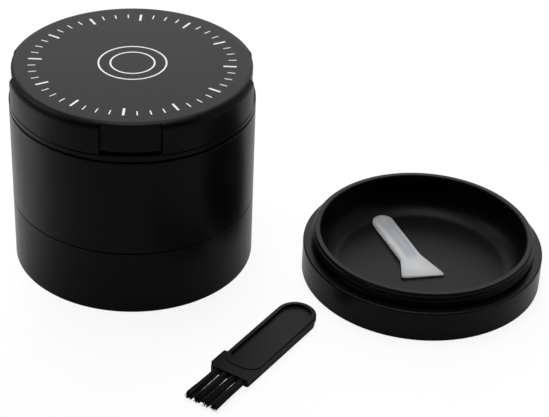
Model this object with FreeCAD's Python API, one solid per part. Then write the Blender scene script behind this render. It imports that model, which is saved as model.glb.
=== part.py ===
import FreeCAD, Part
import math
import os

# Hand-turned herb grinder of stacked round chambers, with its catch dish unscrewed beside it, a scraper
# lying in the dish and a cleaning brush in front. The stack's axis is Z, and it stands on the plane Z = 0.

# Stack, seen from outside
BODY_R = 31.5             # outer radius of every chamber and of the dish
LOWER_H = 18.0            # lower chamber, foot to shoulder
CHAMBER_H = 26.5          # grinding chamber
LID_GAP = 0.4             # gap that the friction ring leaves under the lid
BAND_H = 1.5              # lid base's visible band
COVER_H = 8.8             # lid cover
EDGE_ROUND = 0.25         # round on each upper edge of the outside
EDGE_BREAK = 0.25         # bevel on each other turned edge

# Screw collars and the sockets that take them
SHOULDER_W = 2.6          # shoulder outside a collar
COLLAR_WALL = 1.8
COLLAR_H = 3.9
COLLAR_LEAD_IN = 0.45     # bevel at a collar's mouth
THREAD_ROOM = 0.5         # radial room for the threads between collar and socket
SOCKET_SPARE = 0.3        # socket depth beyond the collar

# Lower chamber's sieve
SEAT_T = 1.6              # thickness of the ledge that carries the screen
SEAT_W = 2.0              # width of that ledge
SCREEN_T = 0.4
SCREEN_FIT = 0.1          # radial clearance of the screen in the bore
SCREEN_PITCH = 3.0        # coarse stand-in for the weave
SCREEN_WIRE = 1.0         # bar left between two gaps
SNAP_RING_H = 1.2
SNAP_RING_W = 2.0
SNAP_RING_BITE = 0.4      # how far the snap ring springs into its groove
SNAP_RING_GAP = 14.0      # degrees left open in the snap ring
GROOVE_PLAY = 0.1         # play of a ring in its groove

# Grinding chamber
PLATE_UNDER = 12.4        # tooth plate's underside above the chamber's foot
PLATE_T = 2.8
GRIND_WALL = 3.9          # chamber wall above the plate
PLATE_CORNER = 1.2        # fillet between plate and wall
POST_R = 5.2              # centre posts that hold the magnets
POST_GAP = 0.5            # gap between the two posts
POST_ROOM = 1.1           # post to the first track
MAGNET_R = 4.0
MAGNET_T = 3.0
MAGNET_FIT = 0.08         # radial clearance of a magnet in its pocket
MAGNET_SUNK = 0.2         # magnet's face below its post's end

# Teeth: diamonds on separate tracks, lid and plate by turns from the post out to the spigot
LID_TEETH = (4, 8, 12)
PLATE_TEETH = (6, 10, 14)
TRACK_GAP = 0.8           # between the teeth of neighbouring tracks
TOOTH_LONG = 4.2          # along the track
TOOTH_TIP = 0.78          # tip size as a share of the root
TOOTH_TIP_GAP = 0.9       # tip to the face opposite
TOOTH_ROOT = 0.4          # root sunk in the plate that carries it
DROP_HOLES = (5, 9, 14)   # holes in the plate, on the lid's tracks
DROP_HOLE_LAND = 0.3      # plate left between a hole and the teeth beside it

# Lid base
SPIGOT_H = 2.2            # ring that centres the lid in the chamber
SPIGOT_WALL = 1.1
SPIGOT_FIT = 0.3
FRICTION_RING_IN = 1.45   # friction ring's outside in from the body's
FRICTION_RING_W = 1.7
FRICTION_GROOVE_D = 0.7
RIM_WALL = 2.6            # rim that the cover slips over
RIM_H = 5.0
STASH_FLOOR_T = 2.4       # lid base's floor
STASH_CORNER = 1.5
SEAL_WIRE_R = 0.65        # cord radius of the rim's seal
SEAL_PROUD = 0.08         # seal outside the rim
SEAL_PLAY = 0.08          # seal to its groove

# Lid cover
COVER_SKIRT = 2.3         # wall outside the rim
COVER_FIT = 0.2           # cover's bore outside the rim
COVER_TOP_T = 1.9
COVER_ROUND = 2.0         # round-over on the top edge
COVER_CORNER = 1.2        # fillet under the top
RECESS_D = 0.96           # thumb recesses, by which the cover is pulled off
RECESS_SPAN = 28.4        # degrees of the wall that a recess takes
RECESS_COUNT = 4
RECESS_TURN = 4.0         # degrees from the front towards +X
PRY_SLOT_H = 0.8          # nail slot under each recess

# Catch dish
DISH_GAP = 13.7           # room between stack and dish, along X
DISH_Y = -7.1
DISH_H = 8.6              # foot to shoulder
DISH_FLOOR = 2.0
DISH_EDGE = 0.45          # round on the shoulder's edge
BOWL_R = 6.0              # sweep from wall to floor
BOWL_FOOT_R = 4.0         # tighter round where the sweep meets the floor
BOWL_FOOT_SLOPE = 21.0    # degrees at which the sweep takes over

# Scraper
SCRAPER_TURN = 22.5
SCRAPER_END_TURN = 118.6  # degrees round the dish's axis at which the handle's end lies
SCRAPER_END_GAP = 0.35    # handle's end to the bowl's sweep
SCRAPER_GAP = 0.2         # underside above the bowl's floor
SCRAPER_L = 28.8
SCRAPER_T = 1.2
SCRAPER_W = 5.6           # handle
BLADE_W = 11.5
BLADE_FLARE = 8.2         # length of the flared blade
BLADE_SKEW = 1.25         # slant of the edge, each side of its middle
BLADE_EDGE_T = 0.4
BLADE_CORNER = 0.35
NECK_ROUND = 3.0
SCRAPER_PANEL_L = 13.5    # shallow sunk panel in the handle
SCRAPER_PANEL_W = 3.2
SCRAPER_PANEL_D = 0.15

# Cleaning brush
BRUSH_X = 28.0            # middle of the handle's bristle end
BRUSH_Y = -58.0
BRUSH_TURN = -32.3
BRUSH_L = 34.8            # handle
BRUSH_W = 10.5
BRUSH_H = 3.0
BRUSH_STEP = 0.3          # lower half set in from the upper
BRUSH_SET_BACK = 0.75     # lower half's front set back from the upper's
BRUSH_EDGE = 0.3          # bevel on the upper edge
BRUSH_CORNER = 0.5        # round of the corners beside the bristles
BRUSH_RIM = 1.2           # rim round the thumb panel
BRUSH_PANEL_START = 4.6
BRUSH_PANEL_ROUND = 2.8   # panel's corners towards the bristles
BRUSH_PANEL_D = 0.8
BRUSH_LAND_D = 0.2        # land in front of the rim, below its top
BRUSH_TAB_W = 1.1         # clip tab on the left side
BRUSH_TAB_L = 5.8
BRUSH_TAB_START = 1.3
BRUSH_TAB_H = 2.0
BRUSH_LUG_W = 0.55        # lug in front of the tab
BRUSH_LUG_START = 0.2
BRUSH_LUG_H = 2.3
TUFT_SLOT_WALL = 0.4      # cheek at each end of the slot that the tufts stand in
TUFT_SLOT_D = 1.4
TUFT_SLOT_ROOM = 0.1      # slot over and under the tufts' holes
TUFT_Z = 1.6              # height of the tufts' middle
TUFT_COUNT = 4
TUFT_PITCH = 2.4
TUFT_L = 13.3             # free length, from the bottom of the slot
TUFT_ROOT_R = 0.72
TUFT_TIP_R = 1.02
TUFT_SEAT = 2.0           # depth set in the handle
TUFT_FIT = 0.1
ANCHOR_T = 0.3            # folded metal plate under each tuft
ANCHOR_L = 0.8
ANCHOR_W = 1.1

# Levels and radii that follow
LOWER_TOP = LOWER_H
CHAMBER_TOP = LOWER_TOP + CHAMBER_H
BAND_FOOT = CHAMBER_TOP + LID_GAP
BAND_TOP = BAND_FOOT + BAND_H
COVER_TOP = BAND_TOP + COVER_H
COLLAR_R = BODY_R - SHOULDER_W
BORE_R = COLLAR_R - COLLAR_WALL
SOCKET_R = COLLAR_R + THREAD_ROOM
SOCKET_H = COLLAR_H + SOCKET_SPARE
SCREEN_Z = SOCKET_H + SEAT_T
SNAP_RING_Z = SCREEN_Z + SCREEN_T
PLATE_TOP = LOWER_TOP + PLATE_UNDER + PLATE_T
GRIND_R = BODY_R - GRIND_WALL
POST_MEET = (PLATE_TOP + BAND_FOOT) / 2
POCKET_R = MAGNET_R + MAGNET_FIT
POCKET_D = MAGNET_T + MAGNET_SUNK
SPIGOT_R = GRIND_R - SPIGOT_FIT
TRACKS_IN = POST_R + POST_ROOM
TRACK_PITCH = (SPIGOT_R - SPIGOT_WALL - TRACKS_IN) / (len(LID_TEETH) + len(PLATE_TEETH))
TOOTH_WIDE = TRACK_PITCH - TRACK_GAP
TOOTH_L = BAND_FOOT - PLATE_TOP - TOOTH_TIP_GAP
DROP_HOLE_R = TRACK_PITCH - TOOTH_WIDE / 2 - DROP_HOLE_LAND
FRICTION_RING_R = BODY_R - FRICTION_RING_IN
RIM_R = BODY_R - COVER_SKIRT - COVER_FIT
DISH_X = 2 * BODY_R + DISH_GAP
BOWL_FLAT_R = BORE_R - BOWL_R + (BOWL_R - BOWL_FOOT_R) * math.sin(math.radians(BOWL_FOOT_SLOPE))
TUFT_HOLE_R = TUFT_ROOT_R + TUFT_FIT
TUFT_FOOT = TUFT_SLOT_D + TUFT_SEAT

ORIGIN = FreeCAD.Vector(0, 0, 0)
X_AXIS = FreeCAD.Vector(1, 0, 0)
Y_AXIS = FreeCAD.Vector(0, 1, 0)
Z_AXIS = FreeCAD.Vector(0, 0, 1)


def outline(corners):
    """Closed wire in the XY plane through corners (x, y) or (x, y, radius), rounded by their radius."""
    points = [FreeCAD.Vector(corner[0], corner[1], 0) for corner in corners]
    bends = []
    for i, corner in enumerate(corners):
        point, radius = points[i], corner[2] if len(corner) > 2 else 0
        back = (points[i - 1] - point).normalize()
        ahead = (points[(i + 1) % len(points)] - point).normalize()
        if radius == 0:
            bends.append((point, None, point))
            continue
        half = back.getAngle(ahead) / 2
        reach = radius / math.tan(half)
        depth = radius / math.sin(half) - radius
        middle = point + (back + ahead).normalize() * depth
        bends.append((point + back * reach, middle, point + ahead * reach))
    edges = []
    for i, (first, middle, last) in enumerate(bends):
        if middle is not None:
            edges.append(Part.Arc(first, middle, last).toShape())
        following = bends[(i + 1) % len(bends)][0]
        if last.distanceToPoint(following) > 1e-6:
            edges.append(Part.LineSegment(last, following).toShape())
    return Part.Wire(edges)


def turned(corners):
    """Solid turned about Z from a profile of (radius, height) corners."""
    face = Part.Face(outline(corners))
    face.rotate(ORIGIN, X_AXIS, 90)
    return face.revolve(ORIGIN, Z_AXIS, 360)


def rounded_end(half, start, end, start_round, end_round):
    """Corners of a strip along +Y, rounded by one radius at its start and another at its end."""
    first = [(-half, start, start_round), (half, start, start_round)]
    return first + [(half, end, end_round), (-half, end, end_round)]


def slab(corners, low, high):
    """Flat plate of the given outline between two heights."""
    face = Part.Face(outline(corners))
    face.translate(Z_AXIS * low)
    return face.extrude(Z_AXIS * (high - low))


def ring(inner, outer, low, high):
    return turned([(inner, low), (outer, low), (outer, high), (inner, high)])


def collar_corners(shoulder):
    """Profile of a screw collar, from the shoulder's inner edge up and over to the bore."""
    top = shoulder + COLLAR_H
    corners = [(COLLAR_R, shoulder), (COLLAR_R, top - COLLAR_LEAD_IN), (COLLAR_R - COLLAR_LEAD_IN, top)]
    return corners + [(BORE_R + EDGE_BREAK, top), (BORE_R, top - EDGE_BREAK)]


def outer_wall(low, high, top_round=EDGE_ROUND):
    """Profile of the outer wall from its bevelled foot to its rounded top."""
    return [(BODY_R - EDGE_BREAK, low), (BODY_R, low + EDGE_BREAK), (BODY_R, high, top_round)]


def tooth(root_z, tip_z):
    """Tapered diamond tooth on the +X side of the origin's track, sunk a little in its plate."""
    sunk = math.copysign(TOOTH_ROOT, root_z - tip_z)
    sections = []
    for z, share in ((root_z + sunk, 1.0), (tip_z, TOOTH_TIP)):
        across, along = TOOTH_WIDE / 2 * share, TOOTH_LONG / 2 * share
        corners = [(across, 0, z), (0, along, z), (-across, 0, z), (0, -along, z)]
        points = [FreeCAD.Vector(*corner) for corner in corners]
        sections.append(Part.makePolygon(points + points[:1]))
    return Part.makeLoft(sections, True, True)


def round_the_axis(shape, radius, count, first=0.0):
    """Copies of a shape, evenly spaced on a circle round the stack's axis."""
    copies = []
    for i in range(count):
        copy = shape.copy()
        copy.translate(X_AXIS * radius)
        copy.rotate(ORIGIN, Z_AXIS, first + 360.0 * i / count)
        copies.append(copy)
    return copies


def track_radii(offset):
    """Radii of the lid's tracks (offset 0) or of the plate's (offset 1)."""
    return [TRACKS_IN + TRACK_PITCH * (2 * i + offset + 0.5) for i in range(len(LID_TEETH))]


def lower_chamber():
    groove_r = BORE_R + SNAP_RING_BITE + GROOVE_PLAY
    groove_top = SNAP_RING_Z + SNAP_RING_H + GROOVE_PLAY
    corners = outer_wall(0, LOWER_TOP) + collar_corners(LOWER_TOP)
    corners += [(BORE_R, groove_top), (groove_r, groove_top), (groove_r, SNAP_RING_Z)]
    corners += [(BORE_R, SNAP_RING_Z)]
    corners += [(BORE_R, SCREEN_Z), (BORE_R - SEAT_W, SCREEN_Z), (BORE_R - SEAT_W, SOCKET_H)]
    corners += [(SOCKET_R, SOCKET_H), (SOCKET_R, EDGE_BREAK), (SOCKET_R + EDGE_BREAK, 0)]
    return turned(corners)


def screen_mesh():
    """Sieve disc with square gaps out to the ledge."""
    edge = BORE_R - SCREEN_FIT
    gap = SCREEN_PITCH - SCREEN_WIRE
    reach = BORE_R - SEAT_W - gap / math.sqrt(2)
    count = int(reach // SCREEN_PITCH)
    wires = [Part.Wire(Part.makeCircle(edge))]
    for i in range(-count, count + 1):
        for j in range(-count, count + 1):
            x, y = i * SCREEN_PITCH, j * SCREEN_PITCH
            if math.hypot(x, y) < reach:
                west, east, south, north = x - gap / 2, x + gap / 2, y - gap / 2, y + gap / 2
                wires.append(outline([(west, south), (east, south), (east, north), (west, north)]))
    disc = Part.Face(wires, "Part::FaceMakerBullseye").extrude(Z_AXIS * SCREEN_T)
    disc.translate(Z_AXIS * SCREEN_Z)
    return disc


def screen_ring():
    """Split spring ring that holds the screen down on its ledge."""
    outer, top = BORE_R + SNAP_RING_BITE, SNAP_RING_Z + SNAP_RING_H
    inner = outer - SNAP_RING_W
    face = Part.Face(outline([(inner, SNAP_RING_Z), (outer, SNAP_RING_Z), (outer, top), (inner, top)]))
    face.rotate(ORIGIN, X_AXIS, 90)
    return face.revolve(ORIGIN, Z_AXIS, 360 - SNAP_RING_GAP)


def grinding_chamber():
    """Wall, tooth plate, teeth and magnet post in one turned and milled piece."""
    foot, plate_low = LOWER_TOP, LOWER_TOP + PLATE_UNDER
    post_top = POST_MEET - POST_GAP / 2
    corners = outer_wall(foot, CHAMBER_TOP)
    corners += [(GRIND_R + EDGE_BREAK, CHAMBER_TOP), (GRIND_R, CHAMBER_TOP - EDGE_BREAK)]
    corners += [(GRIND_R, PLATE_TOP, PLATE_CORNER), (POST_R, PLATE_TOP), (POST_R, post_top)]
    corners += [(POCKET_R, post_top), (POCKET_R, post_top - POCKET_D), (0, post_top - POCKET_D)]
    corners += [(0, plate_low), (BORE_R, plate_low, PLATE_CORNER), (BORE_R, foot + SOCKET_H)]
    corners += [(SOCKET_R, foot + SOCKET_H), (SOCKET_R, foot + EDGE_BREAK)]
    corners += [(SOCKET_R + EDGE_BREAK, foot)]
    body = turned(corners)
    upright = tooth(PLATE_TOP, PLATE_TOP + TOOTH_L)
    teeth = []
    for radius, count in zip(track_radii(1), PLATE_TEETH):
        teeth += round_the_axis(upright, radius, count)
    drill = Part.makeCylinder(DROP_HOLE_R, PLATE_T * 2, Z_AXIS * (plate_low - PLATE_T / 2))
    holes = []
    for radius, count in zip(track_radii(0), DROP_HOLES):
        holes += round_the_axis(drill, radius, count)
    return body.fuse(teeth).cut(holes).removeSplitter()


def magnet(low):
    return Part.makeCylinder(MAGNET_R, MAGNET_T, Z_AXIS * low)


def friction_ring():
    top = BAND_FOOT + FRICTION_GROOVE_D
    return ring(FRICTION_RING_R - FRICTION_RING_W, FRICTION_RING_R, CHAMBER_TOP, top)


def seal_groove():
    """Bottom radius, foot and top of the groove that the seal lies in, halfway up the rim."""
    middle = BAND_TOP + RIM_H / 2
    half = SEAL_WIRE_R + SEAL_PLAY
    return RIM_R + SEAL_PROUD - 2 * SEAL_WIRE_R - SEAL_PLAY, middle - half, middle + half


def cover_seal():
    _, low, high = seal_groove()
    centre = FreeCAD.Vector(0, 0, (low + high) / 2)
    return Part.makeTorus(RIM_R + SEAL_PROUD - SEAL_WIRE_R, SEAL_WIRE_R, centre)


def lid_base():
    """Band, stash floor, rim, centring spigot, magnet post and hanging teeth in one piece."""
    post_foot = POST_MEET + POST_GAP / 2
    spigot_foot = BAND_FOOT - SPIGOT_H
    groove_in = FRICTION_RING_R - FRICTION_RING_W - GROOVE_PLAY
    groove_out = FRICTION_RING_R + GROOVE_PLAY
    groove_top = BAND_FOOT + FRICTION_GROOVE_D
    seal_r, seal_low, seal_high = seal_groove()
    rim_top, rim_in = BAND_TOP + RIM_H, RIM_R - RIM_WALL
    stash_floor = BAND_FOOT + STASH_FLOOR_T
    corners = [(0, post_foot + POCKET_D), (POCKET_R, post_foot + POCKET_D), (POCKET_R, post_foot)]
    corners += [(POST_R, post_foot), (POST_R, BAND_FOOT), (SPIGOT_R - SPIGOT_WALL, BAND_FOOT)]
    corners += [(SPIGOT_R - SPIGOT_WALL, spigot_foot), (SPIGOT_R - EDGE_BREAK, spigot_foot)]
    corners += [(SPIGOT_R, spigot_foot + EDGE_BREAK), (SPIGOT_R, BAND_FOOT)]
    corners += [(groove_in, BAND_FOOT), (groove_in, groove_top)]
    corners += [(groove_out, groove_top), (groove_out, BAND_FOOT)]
    corners += outer_wall(BAND_FOOT, BAND_TOP)
    corners += [(RIM_R, BAND_TOP), (RIM_R, seal_low), (seal_r, seal_low)]
    corners += [(seal_r, seal_high), (RIM_R, seal_high)]
    corners += [(RIM_R, rim_top - EDGE_BREAK), (RIM_R - EDGE_BREAK, rim_top), (rim_in, rim_top)]
    corners += [(rim_in, stash_floor, STASH_CORNER), (0, stash_floor)]
    hanging = tooth(BAND_FOOT, BAND_FOOT - TOOTH_L)
    teeth = []
    for radius, count in zip(track_radii(0), LID_TEETH):
        teeth += round_the_axis(hanging, radius, count, RECESS_TURN)
    return turned(corners).fuse(teeth).removeSplitter()


def recess_sector(inner, low, high):
    """What a thumb recess takes off the lid's wall outside a radius, on the +X side."""
    face = Part.Face(outline([(inner, low), (2 * BODY_R, low), (2 * BODY_R, high), (inner, high)]))
    face.rotate(ORIGIN, X_AXIS, 90)
    face.rotate(ORIGIN, Z_AXIS, -RECESS_SPAN / 2)
    return face.revolve(ORIGIN, Z_AXIS, RECESS_SPAN)


def lid_cover():
    """Cap with a rounded top edge and thumb recesses, each with a nail slot over the band below."""
    bore = RIM_R + COVER_FIT
    ceiling = COVER_TOP - COVER_TOP_T
    corners = [(bore + EDGE_BREAK, BAND_TOP), (BODY_R - EDGE_BREAK, BAND_TOP)]
    corners += [(BODY_R, BAND_TOP + EDGE_BREAK), (BODY_R, COVER_TOP, COVER_ROUND), (0, COVER_TOP)]
    corners += [(0, ceiling), (bore, ceiling, COVER_CORNER), (bore, BAND_TOP + EDGE_BREAK)]
    low, high = BAND_TOP - COVER_H / 2, COVER_TOP + COVER_H / 2
    recess = recess_sector(BODY_R - RECESS_D, low, high)
    slot = recess_sector(RIM_R, low, BAND_TOP + PRY_SLOT_H)
    return turned(corners).cut(round_the_axis(recess.fuse(slot), 0, RECESS_COUNT, RECESS_TURN))


def catch_dish():
    """Shallow bowl with a screw collar, standing by itself beside the stack."""
    slope = math.radians(BOWL_FOOT_SLOPE)
    foot_reach = BOWL_FOOT_R * math.tan(slope / 2)
    run = foot_reach + BOWL_R * math.tan(math.pi / 4 - slope / 2)
    corners = [(0, 0)] + outer_wall(0, DISH_H, DISH_EDGE) + collar_corners(DISH_H)
    corners += [(BORE_R, DISH_FLOOR + run * math.sin(slope), BOWL_R)]
    corners += [(BOWL_FLAT_R + foot_reach, DISH_FLOOR, BOWL_FOOT_R), (0, DISH_FLOOR)]
    dish = turned(corners)
    dish.translate(FreeCAD.Vector(DISH_X, DISH_Y, 0))
    return dish


def scraper():
    """Flat moulded scraper: flared blade that thins to its edge, round-ended handle with a sunk panel.
    The blade's edge is on the X axis until the handle's end is laid against the bowl's sweep."""
    half, blade = SCRAPER_W / 2, BLADE_W / 2
    plate = slab([(-blade, BLADE_SKEW, BLADE_CORNER), (blade, -BLADE_SKEW, BLADE_CORNER),
                  (half, BLADE_FLARE, NECK_ROUND), (half, SCRAPER_L, half), (-half, SCRAPER_L, half),
                  (-half, BLADE_FLARE, NECK_ROUND)], 0, SCRAPER_T)
    panel_half = SCRAPER_PANEL_W / 2
    panel_top = SCRAPER_L - half
    panel_low = panel_top - SCRAPER_PANEL_L
    panel = slab(rounded_end(panel_half, panel_low, panel_top, panel_half, panel_half),
                 SCRAPER_T - SCRAPER_PANEL_D, SCRAPER_T)
    slope = (SCRAPER_T - BLADE_EDGE_T) / (BLADE_FLARE + BLADE_SKEW)
    low_y, high_y = -2 * BLADE_SKEW, BLADE_FLARE
    low_z = SCRAPER_T - slope * (high_y - low_y)
    side = [(high_y, SCRAPER_T), (low_y, low_z), (low_y, 2 * SCRAPER_T), (high_y, 2 * SCRAPER_T)]
    points = [FreeCAD.Vector(-BLADE_W, y, z) for y, z in side]
    wedge = Part.Face(Part.makePolygon(points + points[:1])).extrude(X_AXIS * 2 * BLADE_W)
    shape = plate.cut([panel, wedge])
    shape.translate(-Y_AXIS * (SCRAPER_L - half))
    shape.rotate(ORIGIN, Z_AXIS, SCRAPER_TURN)
    bowl_r = BOWL_FLAT_R + math.sqrt(BOWL_FOOT_R ** 2 - (BOWL_FOOT_R - SCRAPER_GAP) ** 2)
    end_r = bowl_r - SCRAPER_END_GAP - half
    end = FreeCAD.Rotation(Z_AXIS, SCRAPER_END_TURN).multVec(X_AXIS * end_r)
    shape.translate(FreeCAD.Vector(DISH_X, DISH_Y, DISH_FLOOR + SCRAPER_GAP) + end)
    return shape


def laid_brush(shape):
    """Moves a brush piece from its own axes, with the handle along +Y, to where it lies."""
    shape.rotate(ORIGIN, Z_AXIS, BRUSH_TURN)
    shape.translate(FreeCAD.Vector(BRUSH_X, BRUSH_Y, 0))
    return shape


def tuft_places():
    """Distance of each tuft from the handle's middle line."""
    return [(i - (TUFT_COUNT - 1) / 2) * TUFT_PITCH for i in range(TUFT_COUNT)]


def brush_handle():
    """Moulded handle with a rimmed thumb panel, a clip tab and lug on one side and the tufts' slot."""
    half, split = BRUSH_W / 2, BRUSH_H / 2
    upper = slab(rounded_end(half, 0, BRUSH_L, BRUSH_CORNER, half), split, BRUSH_H)
    top_edges = [edge for edge in upper.Edges if edge.BoundBox.ZMin > (split + BRUSH_H) / 2]
    upper = upper.makeChamfer(BRUSH_EDGE, top_edges)
    low_half, low_end = half - BRUSH_STEP, BRUSH_L - BRUSH_STEP
    lower = slab(rounded_end(low_half, BRUSH_SET_BACK, low_end, BRUSH_CORNER, low_half), 0, split)
    panel_half, panel_end = half - BRUSH_RIM, BRUSH_L - BRUSH_RIM
    panel = slab(rounded_end(panel_half, BRUSH_PANEL_START, panel_end, BRUSH_PANEL_ROUND, panel_half),
                 BRUSH_H - BRUSH_PANEL_D, BRUSH_H)
    rim_start, rim_round = BRUSH_PANEL_START - BRUSH_RIM, BRUSH_PANEL_ROUND + BRUSH_RIM
    rim = slab(rounded_end(half, rim_start, BRUSH_L, rim_round, half), BRUSH_H - BRUSH_LAND_D, BRUSH_H)
    land = slab(rounded_end(half, 0, rim_start + rim_round, 0, 0), BRUSH_H - BRUSH_LAND_D, BRUSH_H).cut(rim)
    tab_left, tab_end = -half - BRUSH_TAB_W, BRUSH_TAB_START + BRUSH_TAB_L
    tab = slab([(tab_left, BRUSH_TAB_START, BRUSH_EDGE), (0, BRUSH_TAB_START), (0, tab_end),
                (tab_left, tab_end, BRUSH_EDGE)], split - BRUSH_TAB_H / 2, split + BRUSH_TAB_H / 2)
    slot_half, slot_rise = half - TUFT_SLOT_WALL, TUFT_HOLE_R + TUFT_SLOT_ROOM
    lug_left, lug_end = -half - BRUSH_LUG_W, (BRUSH_TAB_START + tab_end) / 2
    lug = slab([(lug_left, BRUSH_LUG_START, BRUSH_CORNER), (-slot_half, BRUSH_LUG_START),
                (-slot_half, lug_end), (lug_left, lug_end)], 0, BRUSH_LUG_H)
    slot = slab(rounded_end(slot_half, -BRUSH_L, TUFT_SLOT_D, 0, 0), TUFT_Z - slot_rise, TUFT_Z + slot_rise)
    holes = []
    for x in tuft_places():
        depth = TUFT_FOOT + TUFT_FIT + ANCHOR_L
        holes.append(Part.makeCylinder(TUFT_HOLE_R, depth, FreeCAD.Vector(x, 0, TUFT_Z), Y_AXIS))
    body = upper.fuse([lower, tab, lug]).removeSplitter()
    return laid_brush(body.cut([panel, land, slot] + holes))


def tuft(x):
    """One bundle of bristles, spreading a little towards its cut tips."""
    foot = FreeCAD.Vector(x, TUFT_FOOT, TUFT_Z)
    return laid_brush(Part.makeCone(TUFT_ROOT_R, TUFT_TIP_R, TUFT_L + TUFT_SEAT, foot, -Y_AXIS))


def tuft_anchors():
    """Small metal plates that the bristles are folded round, one at the bottom of each hole."""
    plates = []
    for x in tuft_places():
        corner = FreeCAD.Vector(x - ANCHOR_W / 2, TUFT_FOOT + TUFT_FIT, TUFT_Z - ANCHOR_T / 2)
        plates.append(Part.makeBox(ANCHOR_W, ANCHOR_L, ANCHOR_T, corner))
    return laid_brush(Part.makeCompound(plates))


pieces = {
    "lower_chamber": lower_chamber(),
    "screen_mesh": screen_mesh(),
    "screen_ring": screen_ring(),
    "grinding_chamber": grinding_chamber(),
    "chamber_magnet": magnet(POST_MEET - POST_GAP / 2 - POCKET_D),
    "friction_ring": friction_ring(),
    "lid_base": lid_base(),
    "lid_magnet": magnet(POST_MEET + POST_GAP / 2 + MAGNET_SUNK),
    "cover_seal": cover_seal(),
    "lid_cover": lid_cover(),
    "catch_dish": catch_dish(),
    "scraper": scraper(),
    "brush_handle": brush_handle(),
    "tuft_anchors": tuft_anchors(),
}
for number, place in enumerate(tuft_places(), 1):
    pieces[f"tuft_{number}"] = tuft(place)

os.makedirs("parts", exist_ok=True)
for name, shape in pieces.items():
    shape.exportStep(f"parts/{name}.step")
    solids = len(shape.Solids)
    print(f"{name}: {solids} solid(s), {shape.Volume:.1f} mm3, valid {shape.isValid()}")
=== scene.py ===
import math
import random

import bpy
from mathutils import Matrix, Vector


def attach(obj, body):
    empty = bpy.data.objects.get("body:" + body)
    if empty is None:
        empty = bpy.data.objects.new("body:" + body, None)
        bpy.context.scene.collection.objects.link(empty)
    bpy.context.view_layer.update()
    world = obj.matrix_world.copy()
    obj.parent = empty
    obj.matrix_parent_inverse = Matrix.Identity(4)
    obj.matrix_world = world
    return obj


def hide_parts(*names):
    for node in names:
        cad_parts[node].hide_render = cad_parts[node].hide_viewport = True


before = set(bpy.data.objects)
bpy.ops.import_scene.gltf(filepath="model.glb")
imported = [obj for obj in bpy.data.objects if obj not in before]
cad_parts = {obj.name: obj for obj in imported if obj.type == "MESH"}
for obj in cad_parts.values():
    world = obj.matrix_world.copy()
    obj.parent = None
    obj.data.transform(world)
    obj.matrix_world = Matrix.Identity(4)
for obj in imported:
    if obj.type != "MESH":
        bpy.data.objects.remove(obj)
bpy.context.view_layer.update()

# Lower chamber: a turned aluminium tube with a ledge for the sieve, a screw collar on top and a
# threaded socket under its foot. It is bead blasted and then dyed black in the anodising bath.


def linear(hex_colour):
    """Linear RGBA from an sRGB hex colour."""
    channels = [int(hex_colour[i:i + 2], 16) / 255 for i in (1, 3, 5)]
    return [c / 12.92 if c <= 0.04045 else ((c + 0.055) / 1.055) ** 2.4 for c in channels] + [1.0]


def add(tree, kind, inputs, **settings):
    """Adds a node to a tree; an input is a value, or a node and the name of the output to link."""
    node = tree.nodes.new(kind)
    for key, value in settings.items():
        setattr(node, key, value)
    for key, value in inputs.items():
        if isinstance(value, tuple) and isinstance(value[0], bpy.types.Node):
            tree.links.new(value[0].outputs[value[1]], node.inputs[key])
        else:
            node.inputs[key].default_value = value
    return node


def empty_material(name):
    """Material with no nodes in it yet."""
    material = bpy.data.materials.new(name)
    material.use_nodes = True
    material.node_tree.nodes.clear()
    return material


# The dyed oxide is a dark skin with a soft, weak reflection. The blasting leaves a grain of about
# 0.1 mm, drawn three times as coarse so that it shows, and the dye takes a little unevenly over a
# centimetre or so.
BLAST_GRAIN, DYE_CLOUD = 0.0003, 0.012
anodised = empty_material("black_anodised_aluminium")
tree = anodised.node_tree
place = add(tree, "ShaderNodeTexCoord", {})
blast = add(tree, "ShaderNodeTexNoise",
            {"Vector": (place, "Object"), "Scale": 1 / BLAST_GRAIN, "Detail": 2.0})
cloud = add(tree, "ShaderNodeTexNoise",
            {"Vector": (place, "Object"), "Scale": 1 / DYE_CLOUD, "Detail": 3.0})
dye = add(tree, "ShaderNodeMix",
          {"Factor": (cloud, "Fac"), "A": linear("#060607"), "B": linear("#0a0a0b")},
          data_type="RGBA", name="dye")
matt = add(tree, "ShaderNodeMapRange",
           {"Value": (blast, "Fac"), "To Min": 0.26, "To Max": 0.34}, name="matt")
pits = add(tree, "ShaderNodeBump",
           {"Height": (blast, "Fac"), "Strength": 0.10, "Distance": 0.00003})
skin = add(tree, "ShaderNodeBsdfPrincipled",
           {"Base Color": (dye, "Result"), "Roughness": (matt, "Result"),
            "Normal": (pits, "Normal"), "Specular IOR Level": 0.048}, name="skin")
add(tree, "ShaderNodeOutputMaterial", {"Surface": (skin, "BSDF")})
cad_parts["lower_chamber"].material_slots[0].material = anodised

# Each thread is given by its root and crest radius, its rise over the shoulder and its turns.
# Inside and outside threads are half a pitch apart, so that they lie in each other's grooves.
THREAD_PITCH, THREAD_FOOT_HALF, THREAD_CREST_HALF = 0.0015, 0.00068, 0.00010
THREAD_START, THREAD_RUN_OUT, STEPS_PER_TURN = math.radians(150), 0.12, 120
OUTSIDE_THREAD = (0.02885, 0.02932, 0.00030, 1.6)
INSIDE_THREAD = (0.02945, 0.02898, 0.00105, 1.4)
LOWER_FOOT_Z, LOWER_SHOULDER_Z = 0.0, 0.0180


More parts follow.
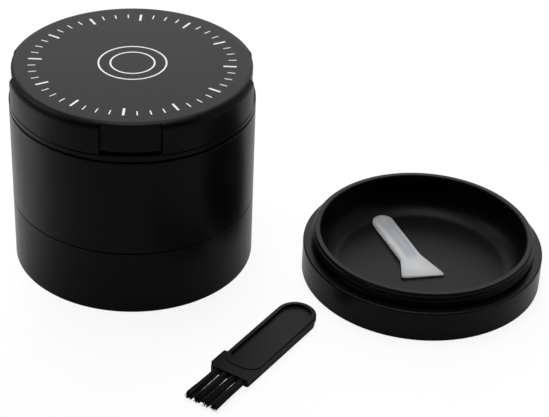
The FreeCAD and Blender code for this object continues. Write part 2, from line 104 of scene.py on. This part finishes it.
def thread(name, body, form, shoulder, centre=(0.0, 0.0)):
    """Cut thread as a ridge that winds up from its foot and runs out at both ends."""
    root, crest, rise, turns = form
    foot = shoulder + rise
    bpy.ops.object.select_all(action="DESELECT")
    bpy.ops.mesh.primitive_plane_add(size=1.0)
    ridge = bpy.context.object
    ridge.name = ridge.data.name = name
    for corner in ridge.data.vertices:
        at_crest = corner.co.x > 0
        half = THREAD_CREST_HALF if at_crest else THREAD_FOOT_HALF
        corner.co = (crest if at_crest else root, 0.0, foot + math.copysign(half, corner.co.y))
    bpy.ops.object.mode_set(mode="EDIT")
    bpy.ops.mesh.select_all(action="SELECT")
    bpy.ops.mesh.delete(type="ONLY_FACE")
    bpy.ops.object.mode_set(mode="OBJECT")
    winding = ridge.modifiers.new("winding", "SCREW")
    winding.angle = 2 * math.pi * turns
    winding.screw_offset = THREAD_PITCH * turns
    winding.steps = winding.render_steps = round(STEPS_PER_TURN * turns)
    bpy.ops.object.modifier_apply(modifier=winding.name)
    for point in ridge.data.vertices:
        lap = math.atan2(point.co.y, point.co.x) / (2 * math.pi)
        turn = lap + round((point.co.z - foot) / THREAD_PITCH - lap)
        fade = min(1.0, max(0.0, min(turn, turns - turn) / THREAD_RUN_OUT))
        radius = math.hypot(point.co.x, point.co.y)
        stay = (root + (radius - root) * fade) / radius
        point.co.x, point.co.y = point.co.x * stay, point.co.y * stay
    ridge.data.transform(Matrix.Translation((*centre, 0.0)) @ Matrix.Rotation(THREAD_START, 4, "Z"))
    bpy.ops.object.mode_set(mode="EDIT")
    bpy.ops.mesh.select_all(action="SELECT")
    bpy.ops.mesh.remove_doubles(threshold=1e-7)
    bpy.ops.mesh.fill_holes(sides=4)
    bpy.ops.mesh.normals_make_consistent(inside=False)
    bpy.ops.object.mode_set(mode="OBJECT")
    bpy.ops.object.shade_smooth_by_angle(angle=math.radians(30))
    ridge.data.materials.append(anodised)
    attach(ridge, body)


thread("lower_collar_thread", "lower_chamber", OUTSIDE_THREAD, LOWER_SHOULDER_Z)
thread("lower_socket_thread", "lower_chamber", INSIDE_THREAD, LOWER_FOOT_Z)

# Sieve: a disc of woven stainless wire that lies on the ledge, under a split spring ring. The real
# cloth has about 0.3 mm between wires, which is drawn at 1 mm so that the weave shows.
SIEVE_R, SIEVE_Z, PUNCH_H = 0.0268, 0.0060, 0.004
WIRE_GAP, WIRE_R, WIRE_LIFT = 0.0010, 0.00011, 0.00011
crossings = 2 * math.ceil(SIEVE_R / WIRE_GAP)
bpy.ops.object.select_all(action="DESELECT")
bpy.ops.mesh.primitive_circle_add(vertices=5, radius=WIRE_R, fill_type="NGON",
                                  rotation=(0.0, math.pi / 2, 0.0))
sieve = bpy.context.object
sieve.name = sieve.data.name = "woven_sieve"
bpy.ops.object.transform_apply(location=False, rotation=True, scale=False)
edge = -WIRE_GAP * crossings / 2
sieve.data.transform(Matrix.Translation((edge, edge, WIRE_LIFT)))
bpy.ops.object.mode_set(mode="EDIT")
bpy.ops.mesh.select_all(action="SELECT")
for crossing in range(crossings):
    step = 2 * WIRE_LIFT if crossing % 2 else -2 * WIRE_LIFT
    bpy.ops.mesh.extrude_region_move(TRANSFORM_OT_translate={"value": (WIRE_GAP, 0.0, step)})
bpy.ops.mesh.select_all(action="SELECT")
bpy.ops.mesh.normals_make_consistent(inside=False)
bpy.ops.mesh.duplicate_move(TRANSFORM_OT_translate={"value": (WIRE_GAP, WIRE_GAP, 0.0)})
bpy.ops.object.mode_set(mode="OBJECT")
rows = sieve.modifiers.new("rows", "ARRAY")
rows.use_relative_offset = False
rows.use_constant_offset = True
rows.constant_offset_displace = (0.0, 2 * WIRE_GAP, 0.0)
rows.count = crossings // 2 + 1
bpy.ops.object.modifier_apply(modifier=rows.name)
cross = sieve.copy()
cross.data = sieve.data.copy()
cross.data.transform(Matrix.Rotation(math.pi / 2, 4, "Z") @ Matrix.Rotation(math.pi, 4, "X"))
bpy.context.scene.collection.objects.link(cross)
bpy.ops.object.select_all(action="DESELECT")
bpy.ops.mesh.primitive_cylinder_add(vertices=96, radius=SIEVE_R, depth=PUNCH_H)
blank = bpy.context.object
for wires in (sieve, cross):
    bpy.context.view_layer.objects.active = wires
    punch = wires.modifiers.new("punch", "BOOLEAN")
    punch.operation = "INTERSECT"
    punch.object = blank
    bpy.ops.object.modifier_apply(modifier=punch.name)
bpy.data.objects.remove(blank)
bpy.ops.object.select_all(action="DESELECT")
cross.select_set(True)
sieve.select_set(True)
bpy.context.view_layer.objects.active = sieve
bpy.ops.object.join()
sieve.data.transform(Matrix.Translation((0.0, 0.0, SIEVE_Z)))
bpy.ops.object.shade_smooth_by_angle(angle=math.radians(80))


def clouded(name, size, detail, tones, gloss, **finish):
    """Material with tone and gloss in clouds of one size; finish sets the shader's other inputs."""
    material = empty_material(name)
    tree = material.node_tree
    place = add(tree, "ShaderNodeTexCoord", {})
    cloud = add(tree, "ShaderNodeTexNoise",
                {"Vector": (place, "Object"), "Scale": 1 / size, "Detail": detail})
    tone = add(tree, "ShaderNodeMix",
               {"Factor": (cloud, "Fac"), "A": linear(tones[0]), "B": linear(tones[1])},
               data_type="RGBA")
    rough = add(tree, "ShaderNodeMapRange",
                {"Value": (cloud, "Fac"), "To Min": gloss[0], "To Max": gloss[1]})
    surface = add(tree, "ShaderNodeBsdfPrincipled",
                  {"Base Color": (tone, "Result"), "Roughness": (rough, "Result"), **finish})
    add(tree, "ShaderNodeOutputMaterial", {"Surface": (surface, "BSDF")})
    return material


# Drawn stainless wire is bright, with a fine mottle from the die, drawn at 0.4 mm so that it shows.
# The ring is rolled from the same steel.
stainless = clouded("drawn_stainless_steel", size=0.0004, detail=2.0, tones=("#a9abad", "#c9cacb"),
                    gloss=(0.22, 0.36), Metallic=1.0)
sieve.data.materials.clear()
sieve.data.materials.append(stainless)
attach(sieve, "lower_chamber")
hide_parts("screen_mesh")
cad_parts["screen_ring"].material_slots[0].material = stainless

# Grinding chamber: wall, tooth plate, diamond teeth and magnet post milled from one aluminium blank
# and anodised with the rest. It screws down on the lower chamber's collar.
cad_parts["grinding_chamber"].material_slots[0].material = anodised
thread("chamber_socket_thread", "grinding_chamber", INSIDE_THREAD, LOWER_SHOULDER_Z)

# Magnets: two sintered neodymium discs pressed into the posts, which hold the lid down. Their
# nickel plate is smooth and a little yellow, with faint clouds of 1.5 mm from barrel plating.
nickel = clouded("nickel_plate", size=0.0015, detail=4.0, tones=("#b9b4aa", "#d2cdc3"),
                 gloss=(0.14, 0.26), Metallic=1.0)
for disc in ("chamber_magnet", "lid_magnet"):
    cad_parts[disc].material_slots[0].material = nickel

# Friction ring: a flat ring cut from black nylon, which lets the lid turn on the chamber without
# metal on metal. It lies loose in the lid base's groove, rubbed dull in patches of about 4 mm.
nylon = clouded("black_nylon", size=0.004, detail=2.0, tones=("#131313", "#1d1d1e"),
                gloss=(0.35, 0.50), IOR=1.53)
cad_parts["friction_ring"].material_slots[0].material = nylon

# Lid base: the turning half with the hanging teeth, the visible band and the rim that the cover
# slips over. Milled and anodised as the chambers are.
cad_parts["lid_base"].material_slots[0].material = anodised

# Rim seal: a moulded silicone cord ring in a groove of the rim, which grips the cover by friction.
# It is a matt black with a faint bloom in spots of about 2 mm.
silicone = clouded("black_silicone", size=0.002, detail=3.0, tones=("#1a1a1b", "#262627"),
                   gloss=(0.50, 0.62), IOR=1.41)
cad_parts["cover_seal"].material_slots[0].material = silicone

# Lid cover: a turned cap with a rounded top edge and four milled thumb recesses, pushed on over the
# sealed rim. Its top carries a plain dial in white ink: ticks, given by their number, inner and
# outer radius and half width, and rings, given by their radius and half width.
DIAL_TICKS = ((48, 0.0244, 0.0264, 0.00016), (12, 0.0230, 0.0264, 0.00030))
DIAL_RINGS = ((0.0086, 0.00022), (0.0056, 0.00022))
PRINT_ABOVE_Z = 0.0550
printed = anodised.copy()
printed.name = "anodised_aluminium_with_white_print"
tree = printed.node_tree
place = add(tree, "ShaderNodeTexCoord", {})
flat = add(tree, "ShaderNodeVectorMath",
           {0: (place, "Object"), 1: (1.0, 1.0, 0.0)}, operation="MULTIPLY")
radius = add(tree, "ShaderNodeVectorMath", {0: (flat, "Vector")}, operation="LENGTH")
part = add(tree, "ShaderNodeSeparateXYZ", {"Vector": (place, "Object")})
angle = add(tree, "ShaderNodeMath", {0: (part, "Y"), 1: (part, "X")}, operation="ARCTAN2")
marks = []
for count, low, high, half in DIAL_TICKS:
    lap = add(tree, "ShaderNodeMath",
              {0: (angle, "Value"), 1: count / (2 * math.pi)}, operation="MULTIPLY")
    near = add(tree, "ShaderNodeMath", {0: (lap, "Value"), 1: 0.5}, operation="PINGPONG")
    arc = add(tree, "ShaderNodeMath",
              {0: (near, "Value"), 1: (radius, "Value")}, operation="MULTIPLY")
    thin = add(tree, "ShaderNodeMath", {0: (arc, "Value"), 1: half * count / (2 * math.pi)},
               operation="LESS_THAN")
    band = add(tree, "ShaderNodeMath",
               {0: (radius, "Value"), 1: (low + high) / 2, 2: (high - low) / 2},
               operation="COMPARE")
    marks.append(add(tree, "ShaderNodeMath",
                     {0: (thin, "Value"), 1: (band, "Value")}, operation="MULTIPLY"))
for ring_r, half in DIAL_RINGS:
    marks.append(add(tree, "ShaderNodeMath",
                     {0: (radius, "Value"), 1: ring_r, 2: half}, operation="COMPARE"))
ink = marks[0]
for mark in marks[1:]:
    ink = add(tree, "ShaderNodeMath", {0: (ink, "Value"), 1: (mark, "Value")}, operation="MAXIMUM")
top = add(tree, "ShaderNodeMath", {0: (part, "Z"), 1: PRINT_ABOVE_Z}, operation="GREATER_THAN")
ink = add(tree, "ShaderNodeMath", {0: (ink, "Value"), 1: (top, "Value")}, operation="MULTIPLY")
face = add(tree, "ShaderNodeMix",
           {"Factor": (ink, "Value"), "A": (tree.nodes["dye"], "Result"), "B": linear("#dededc")},
           data_type="RGBA")
tree.links.new(face.outputs["Result"], tree.nodes["skin"].inputs["Base Color"])
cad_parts["lid_cover"].material_slots[0].material = printed

# Catch dish: a shallow turned bowl that screws under the lower chamber; here it stands beside the
# stack with its screw collar up. It is anodised as the stack is, after a coarser blasting that
# leaves the inside more matt.
DISH_AT, DISH_SHOULDER_Z, DISH_BORE_R = (0.0767, -0.0071), 0.0086, 0.0271
BORE_ROOM, INSIDE_MATT, DISH_SHEEN = 0.00002, 0.09, 0.056
coarse = anodised.copy()
coarse.name = "coarse_blasted_anodised_aluminium"
tree = coarse.node_tree
place = add(tree, "ShaderNodeTexCoord", {})
flat = add(tree, "ShaderNodeVectorMath",
           {0: (place, "Object"), 1: (1.0, 1.0, 0.0)}, operation="MULTIPLY")
radius = add(tree, "ShaderNodeVectorMath",
             {0: (flat, "Vector"), 1: (*DISH_AT, 0.0)}, operation="DISTANCE")
inside = add(tree, "ShaderNodeMath",
             {0: (radius, "Value"), 1: DISH_BORE_R + BORE_ROOM}, operation="LESS_THAN")
matt = add(tree, "ShaderNodeMath",
           {0: (inside, "Value"), 1: INSIDE_MATT, 2: (tree.nodes["matt"], "Result")},
           operation="MULTIPLY_ADD")
tree.links.new(matt.outputs["Value"], tree.nodes["skin"].inputs["Roughness"])
tree.nodes["skin"].inputs["Specular IOR Level"].default_value = DISH_SHEEN
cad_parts["catch_dish"].material_slots[0].material = coarse
thread("dish_collar_thread", "catch_dish", OUTSIDE_THREAD, DISH_SHOULDER_Z, DISH_AT)

# Scraper: a small paddle moulded in natural polypropylene, which lies loose in the dish. The resin
# is milky, so light spreads in it and its sides are nearly as pale as its top.
EDGE_R, EDGE_SEGMENTS, EDGE_ANGLE = 0.00018, 3, math.radians(25)


def rounded_copy(node_name, piece_name):
    """Copy of a moulded CAD piece with its edges rounded as a mould leaves them."""
    bpy.ops.object.select_all(action="DESELECT")
    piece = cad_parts[node_name].copy()
    piece.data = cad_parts[node_name].data.copy()
    piece.name = piece.data.name = piece_name
    for key in list(piece.keys()):
        del piece[key]
    piece.parent = None
    bpy.context.scene.collection.objects.link(piece)
    piece.select_set(True)
    bpy.context.view_layer.objects.active = piece
    bpy.ops.mesh.customdata_custom_splitnormals_clear()
    bpy.ops.object.mode_set(mode="EDIT")
    bpy.ops.mesh.select_all(action="SELECT")
    bpy.ops.mesh.remove_doubles(threshold=2e-6)
    bpy.ops.mesh.dissolve_limited(angle_limit=math.radians(1.5))
    bpy.ops.object.mode_set(mode="OBJECT")
    soft = piece.modifiers.new("soft_edges", "BEVEL")
    soft.width = EDGE_R
    soft.segments = EDGE_SEGMENTS
    soft.limit_method = "ANGLE"
    soft.angle_limit = EDGE_ANGLE
    bpy.ops.object.modifier_apply(modifier=soft.name)
    bpy.ops.object.shade_smooth_by_angle(angle=math.radians(40))
    even = piece.modifiers.new("even_faces", "WEIGHTED_NORMAL")
    even.keep_sharp = True
    bpy.ops.object.modifier_apply(modifier=even.name)
    piece.data.materials.clear()
    return piece


# The melt leaves faint clouds of about 5 mm in the resin. The sunk panel is thinner, and it is
# painted darker and a little bluer there: painted shade for the dark dish seen through thin resin.
# Across and along the handle, the painted panel is given by its middle and by how far from there
# it is full and has faded.
HANDLE_END, SCRAPER_TURN = (0.0672, 0.0104, 0.0), math.radians(22.5)
PANEL_SHADE_FADES = (("X", 0.0005, 0.0010, 0.0024), ("Y", -0.0095, 0.0062, 0.0120))
MELT_CLOUD = 0.005
milky = empty_material("natural_polypropylene")
tree = milky.node_tree
place = add(tree, "ShaderNodeTexCoord", {})
flow = add(tree, "ShaderNodeTexNoise",
           {"Vector": (place, "Object"), "Scale": 1 / MELT_CLOUD, "Detail": 3.0})
along = add(tree, "ShaderNodeMapping",
            {"Vector": (place, "Object"), "Location": HANDLE_END,
             "Rotation": (0.0, 0.0, SCRAPER_TURN)}, vector_type="TEXTURE")
part = add(tree, "ShaderNodeSeparateXYZ", {"Vector": (along, "Vector")})
tone = add(tree, "ShaderNodeMix",
           {"Factor": (flow, "Fac"), "A": linear("#babbbd"), "B": linear("#c3c3c3")},
           data_type="RGBA")
fades = []
for axis, middle, full, faded in PANEL_SHADE_FADES:
    off = add(tree, "ShaderNodeMath", {0: (part, axis), 1: middle}, operation="SUBTRACT")
    off = add(tree, "ShaderNodeMath", {0: (off, "Value")}, operation="ABSOLUTE")
    fades.append(add(tree, "ShaderNodeMapRange",
                     {"Value": (off, "Value"), "From Min": faded, "From Max": full},
                     interpolation_type="SMOOTHSTEP"))
# Painted shade: the panel's darker, bluer tone stands in for the dark dish seen through the resin.
painted_panel_shade = add(tree, "ShaderNodeMath",
            {0: (fades[0], "Result"), 1: (fades[1], "Result")}, operation="MULTIPLY")
tone = add(tree, "ShaderNodeMix",
           {"Factor": (painted_panel_shade, "Value"), "A": (tone, "Result"), "B": linear("#9297a2")},
           data_type="RGBA")
satin = add(tree, "ShaderNodeMapRange", {"Value": (flow, "Fac"), "To Min": 0.36, "To Max": 0.50})
resin = add(tree, "ShaderNodeBsdfPrincipled",
            {"Base Color": (tone, "Result"), "Roughness": (satin, "Result"), "IOR": 1.49,
             "Subsurface Weight": 1.0, "Subsurface Radius": (1.0, 0.95, 0.9),
             "Subsurface Scale": 0.0160},
            subsurface_method="BURLEY")
add(tree, "ShaderNodeOutputMaterial", {"Surface": (resin, "BSDF")})
paddle = rounded_copy("scraper", "scraper_moulding")
paddle.data.materials.append(milky)
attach(paddle, "scraper")
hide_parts("scraper")

# Brush handle: a flat handle moulded in black ABS with a sunk thumb panel, a clip tab on one side
# and a slot in its front end that the tufts are stapled into.

# The spark-eroded mould leaves a satin grain of about 0.1 mm, drawn at 0.35 mm so that it shows,
# and the black is uneven where thick parts have sunk in.
SPARK_GRAIN, SINK_CLOUD = 0.00035, 0.009
moulded = empty_material("black_moulded_abs")
tree = moulded.node_tree
place = add(tree, "ShaderNodeTexCoord", {})
spark = add(tree, "ShaderNodeTexNoise",
            {"Vector": (place, "Object"), "Scale": 1 / SPARK_GRAIN, "Detail": 2.0})
sink = add(tree, "ShaderNodeTexNoise",
           {"Vector": (place, "Object"), "Scale": 1 / SINK_CLOUD, "Detail": 2.0})
tone = add(tree, "ShaderNodeMix",
           {"Factor": (sink, "Fac"), "A": linear("#090a0a"), "B": linear("#101111")},
           data_type="RGBA")
satin = add(tree, "ShaderNodeMapRange", {"Value": (spark, "Fac"), "To Min": 0.36, "To Max": 0.50})
pits = add(tree, "ShaderNodeBump",
           {"Height": (spark, "Fac"), "Strength": 0.12, "Distance": 0.00003})
resin = add(tree, "ShaderNodeBsdfPrincipled",
            {"Base Color": (tone, "Result"), "Roughness": (satin, "Result"),
             "Normal": (pits, "Normal"), "Specular IOR Level": 0.048})
add(tree, "ShaderNodeOutputMaterial", {"Surface": (resin, "BSDF")})
handle = rounded_copy("brush_handle", "brush_handle_moulding")
handle.data.materials.append(moulded)
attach(handle, "brush")
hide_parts("brush_handle")

# Tuft anchors: small plates of stainless steel driven in at the bottom of each hole. The bristles
# are folded round them, and they hold the tufts by that bend.
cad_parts["tuft_anchors"].material_slots[0].material = stainless

# Bristles: four tufts of black nylon filament, folded into the slot and trimmed by hand, so their
# tips are ragged and they spread from the slot outwards. Some locks of a tuft are painted lighter,
# as a painted sheen where they would take the light, and others stay dark.
BRUSH_AT, BRUSH_TURN = (0.0280, -0.0580), math.radians(-32.3)
TUFT_PITCH, TUFT_MID, TUFT_SEAT, TUFT_TIP = 0.00240, 0.0016, 0.0034, -0.0119
TUFT_ROOT_R, TUFT_TIP_R = 0.00070, 0.00106
TUFT_LEANS, TRIM_SEED = (-0.00006, -0.00003, 0.00003, -0.00004), 5

# The spread says how far a filament is from its place at the root to that at the tip, bend by bend.
# The golden angle between one filament and the next fills the tuft evenly.
TUFT_SPREAD = (0.0, 0.40, 0.48, 0.53, 0.70, 1.0)
FILAMENT_R, FILAMENTS, FILAMENT_BENDS = 0.00010, 104, len(TUFT_SPREAD) - 1
FILAMENT_TAPER, FILAMENT_WAVE, GOLDEN_ANGLE = 0.15, 0.00005, 2.39996
TIP_STRAY_X, TIP_STRAY_Z, TIP_RAGGED = 0.00013, 0.00012, 0.0007
SHORT_SHARE, SHORT_BY = 0.12, 0.0010
LOCK_W, LOCK_STRETCH = 0.0004, 14.0
filament = empty_material("black_nylon_filament")
tree = filament.node_tree
place = add(tree, "ShaderNodeTexCoord", {})
lie = add(tree, "ShaderNodeMapping",
          {"Vector": (place, "Object"), "Location": (*BRUSH_AT, 0.0),
           "Rotation": (0.0, 0.0, BRUSH_TURN), "Scale": (1.0, LOCK_STRETCH, 1.0)},
          vector_type="TEXTURE")
lock_pattern = add(tree, "ShaderNodeTexNoise",
            {"Vector": (lie, "Vector"), "Scale": 1 / LOCK_W, "Detail": 1.0})
# Painted sheen: the lighter locks are colour that stands in for light on the filaments.
lock_sheen = add(tree, "ShaderNodeMapRange",
           {"Value": (lock_pattern, "Fac"), "From Min": 0.42, "From Max": 0.66})
tone = add(tree, "ShaderNodeMix",
           {"Factor": (lock_sheen, "Result"), "A": linear("#020202"), "B": linear("#1c1c1c")},
           data_type="RGBA")
gloss = add(tree, "ShaderNodeMapRange", {"Value": (lock_pattern, "Fac"), "To Min": 0.40, "To Max": 0.55})
resin = add(tree, "ShaderNodeBsdfPrincipled",
            {"Base Color": (tone, "Result"), "Roughness": (gloss, "Result"),
             "Specular IOR Level": 0.06})
add(tree, "ShaderNodeOutputMaterial", {"Surface": (resin, "BSDF")})
bpy.ops.object.select_all(action="DESELECT")
bpy.ops.mesh.primitive_circle_add(vertices=5, radius=FILAMENT_R, fill_type="NGON")
rod = bpy.context.object
bpy.ops.object.mode_set(mode="EDIT")
bpy.ops.mesh.select_all(action="SELECT")
for bend in range(FILAMENT_BENDS):
    bpy.ops.mesh.extrude_region_move(
        TRANSFORM_OT_translate={"value": (0.0, 0.0, 1.0 / FILAMENT_BENDS)})
bpy.ops.mesh.select_all(action="SELECT")
bpy.ops.mesh.normals_make_consistent(inside=False)
bpy.ops.object.mode_set(mode="OBJECT")
lay = Matrix.Translation((*BRUSH_AT, 0.0)) @ Matrix.Rotation(BRUSH_TURN, 4, "Z")
chance = random.Random(TRIM_SEED)
for number, lean in enumerate(TUFT_LEANS):
    middle = (number - (len(TUFT_LEANS) - 1) / 2) * TUFT_PITCH
    hairs = []
    for i in range(FILAMENTS):
        share, turn = math.sqrt((i + 0.5) / FILAMENTS), i * GOLDEN_ANGLE
        root = Vector((math.cos(turn), math.sin(turn))) * TUFT_ROOT_R * share
        tip = Vector((math.cos(turn), math.sin(turn))) * TUFT_TIP_R * share
        tip += Vector((lean + chance.uniform(-TIP_STRAY_X, TIP_STRAY_X),
                       chance.uniform(-TIP_STRAY_Z, TIP_STRAY_Z)))
        tip_y = (TUFT_TIP + chance.uniform(0.0, TIP_RAGGED)
                 + (SHORT_BY if chance.random() < SHORT_SHARE else 0.0))
        waves = [Vector((chance.uniform(-FILAMENT_WAVE, FILAMENT_WAVE),
                         chance.uniform(-FILAMENT_WAVE, FILAMENT_WAVE)))
                 for bend in range(FILAMENT_BENDS + 1)]
        hair = bpy.data.objects.new("hair", rod.data.copy())
        for point in hair.data.vertices:
            far = point.co.z
            bend = round(far * FILAMENT_BENDS)
            line = root.lerp(tip, TUFT_SPREAD[bend]) + waves[bend]
            thin = 1.0 - FILAMENT_TAPER * far
            point.co = (middle + line.x + point.co.x * thin, TUFT_SEAT + (tip_y - TUFT_SEAT) * far,
                        TUFT_MID + line.y + point.co.y * thin)
        bpy.context.scene.collection.objects.link(hair)
        hairs.append(hair)
    bpy.ops.object.select_all(action="DESELECT")
    for hair in hairs:
        hair.select_set(True)
    tuft = hairs[0]
    bpy.context.view_layer.objects.active = tuft
    bpy.ops.object.join()
    tuft.name = tuft.data.name = f"bristles_{number + 1}"
    tuft.data.transform(lay)
    bpy.ops.object.shade_smooth_by_angle(angle=math.radians(75))
    tuft.data.materials.append(filament)
    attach(tuft, "brush")
    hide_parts(f"tuft_{number + 1}")
bpy.data.objects.remove(rod)

# Studio: white paper as the floor. To the camera it glows white, with a trace of the shadows left;
# reflections show half of that glow. Under the stack the paper is left in the dark.
PAPER_W, PAPER_GLOW, MIRRORED_SHARE, STACK_FOOT_R = 6.0, 0.88, 0.5, 0.0305
paper = empty_material("white_paper")
tree = paper.node_tree
ray = add(tree, "ShaderNodeLightPath", {})
mirrored = add(tree, "ShaderNodeMath",
               {0: (ray, "Is Glossy Ray"), 1: MIRRORED_SHARE}, operation="MULTIPLY")
seen = add(tree, "ShaderNodeMath",
           {0: (ray, "Is Camera Ray"), 1: (mirrored, "Value")}, operation="MAXIMUM")
seen = add(tree, "ShaderNodeMath",
           {0: (seen, "Value"), 1: (ray, "Is Transmission Ray")}, operation="MAXIMUM")
place = add(tree, "ShaderNodeTexCoord", {})
away = add(tree, "ShaderNodeVectorMath", {0: (place, "Object")}, operation="LENGTH")
open_floor = add(tree, "ShaderNodeMath",
                 {0: (away, "Value"), 1: STACK_FOOT_R}, operation="GREATER_THAN")
white = add(tree, "ShaderNodeMath", {0: (seen, "Value"), 1: PAPER_GLOW}, operation="MULTIPLY")
white = add(tree, "ShaderNodeMath",
            {0: (white, "Value"), 1: (open_floor, "Value")}, operation="MULTIPLY")
sheet = add(tree, "ShaderNodeBsdfDiffuse", {"Color": linear("#fafafa")})
glow = add(tree, "ShaderNodeEmission", {"Color": (1.0, 1.0, 1.0, 1.0), "Strength": 1.0})
mixed = add(tree, "ShaderNodeMixShader",
            {"Fac": (white, "Value"), 1: (sheet, "BSDF"), 2: (glow, "Emission")})
add(tree, "ShaderNodeOutputMaterial", {"Surface": (mixed, "Shader")})
bpy.ops.object.select_all(action="DESELECT")
bpy.ops.mesh.primitive_plane_add(size=PAPER_W)
floor = bpy.context.object
floor.name = "paper_floor"
floor.data.materials.append(paper)

# Drape: a black cloth behind the camera, unseen by it and casting no shadow, which keeps that side
# of the room dark in the pieces' walls.
DRAPE_AT, DRAPE_W, DRAPE_H, CLOTH_FOLD = (0.0, -1.3, 1.35), 5.0, 2.4, 0.01
cloth = empty_material("black_cloth")
tree = cloth.node_tree
place = add(tree, "ShaderNodeTexCoord", {})
folds = add(tree, "ShaderNodeTexNoise",
            {"Vector": (place, "Object"), "Scale": 1 / CLOTH_FOLD, "Detail": 1.0})
tone = add(tree, "ShaderNodeMix",
           {"Factor": (folds, "Fac"), "A": linear("#101010"), "B": linear("#181818")},
           data_type="RGBA")
dull = add(tree, "ShaderNodeBsdfDiffuse", {"Color": (tone, "Result")})
add(tree, "ShaderNodeOutputMaterial", {"Surface": (dull, "BSDF")})
bpy.ops.object.select_all(action="DESELECT")
bpy.ops.mesh.primitive_plane_add(size=1.0)
drape = bpy.context.object
drape.name = "black_drape"
drape.data.transform(Matrix.Translation(DRAPE_AT) @ Matrix.Rotation(math.pi / 2, 4, "X")
                     @ Matrix.Diagonal((DRAPE_W, DRAPE_H, 1.0, 1.0)))
drape.data.materials.append(cloth)
drape.visible_camera = drape.visible_shadow = False

# Even light: a room that is white to the camera and in reflections, and lights the pieces only
# weakly from all round.
FILL_LIGHT = 0.06
studio = bpy.data.worlds.new("even_light")
bpy.context.scene.world = studio
studio.use_nodes = True
tree = studio.node_tree
tree.nodes.clear()
ray = add(tree, "ShaderNodeLightPath", {})
seen = add(tree, "ShaderNodeMath",
           {0: (ray, "Is Camera Ray"), 1: (ray, "Is Glossy Ray")}, operation="MAXIMUM")
seen = add(tree, "ShaderNodeMath",
           {0: (seen, "Value"), 1: (ray, "Is Transmission Ray")}, operation="MAXIMUM")
fill = add(tree, "ShaderNodeBackground", {"Color": (1.0, 1.0, 1.0, 1.0), "Strength": FILL_LIGHT})
back = add(tree, "ShaderNodeBackground", {"Color": (1.0, 1.0, 1.0, 1.0), "Strength": 1.0})
mixed = add(tree, "ShaderNodeMixShader",
            {"Fac": (seen, "Value"), 1: (fill, "Background"), 2: (back, "Background")})
add(tree, "ShaderNodeOutputWorld", {"Surface": (mixed, "Shader")})

# Lamps: soft boxes overhead, behind and on the left, and a small one that brightens the paper left
# of the stack, which the wall there mirrors. Each is given by its place, aim, width, height, spread
# in degrees and watts.
PIECES, LEFT_PAPER = (0.04, -0.02, 0.02), (-0.095, -0.005, 0.0)
for name, spot, aim, width, height, spread, power in (
        ("top_box", (0.04, 0.14, 1.05), PIECES, 0.50, 0.95, 180, 9.6),
        ("back_box", (0.05, 1.15, 0.78), PIECES, 1.30, 0.75, 180, 7.8),
        ("left_box", (-0.85, 0.25, 0.85), PIECES, 0.60, 0.50, 180, 3.6),
        ("paper_box", (-0.40, 0.0, 0.60), LEFT_PAPER, 0.06, 0.06, 10, 0.05)):
    lamp = bpy.data.lights.new(name, "AREA")
    lamp.shape = "RECTANGLE"
    lamp.size, lamp.size_y = width, height
    lamp.spread = math.radians(spread)
    lamp.energy = power
    box = bpy.data.objects.new(name, lamp)
    bpy.context.scene.collection.objects.link(box)
    box.visible_camera = False
    box.visible_glossy = aim == PIECES
    box.location = spot
    box.rotation_euler = (Vector(aim) - Vector(spot)).to_track_quat("-Z", "Y").to_euler()

# Camera: a long lens that looks down on the pieces from the front with a slight roll, from where
# the circles of the lid, the seams and the dish come out as they do in the picture.
CAMERA_AT, TILT, ROLL = (0.037357, -0.405461, 0.278472), math.radians(33.230), math.radians(2.293)
FOCAL_LENGTH, SENSOR_W = 119.65, 36.0
lens = bpy.data.cameras.new("camera")
lens.sensor_fit = "HORIZONTAL"
lens.sensor_width = SENSOR_W
lens.lens = FOCAL_LENGTH
camera = bpy.data.objects.new("camera", lens)
bpy.context.scene.collection.objects.link(camera)
ahead = Vector((0.0, math.cos(TILT), -math.sin(TILT)))
up = Vector((0.0, math.sin(TILT), math.cos(TILT)))
level = Vector((1.0, 0.0, 0.0))
side = level * math.cos(ROLL) + up * math.sin(ROLL)
up = up * math.cos(ROLL) - level * math.sin(ROLL)
camera.matrix_world = (Matrix.Translation(CAMERA_AT)
                       @ Matrix((side, up, -ahead)).transposed().to_4x4())
bpy.context.scene.camera = camera

# The picture is shown with plain colours.
bpy.context.scene.view_settings.view_transform = "Standard"
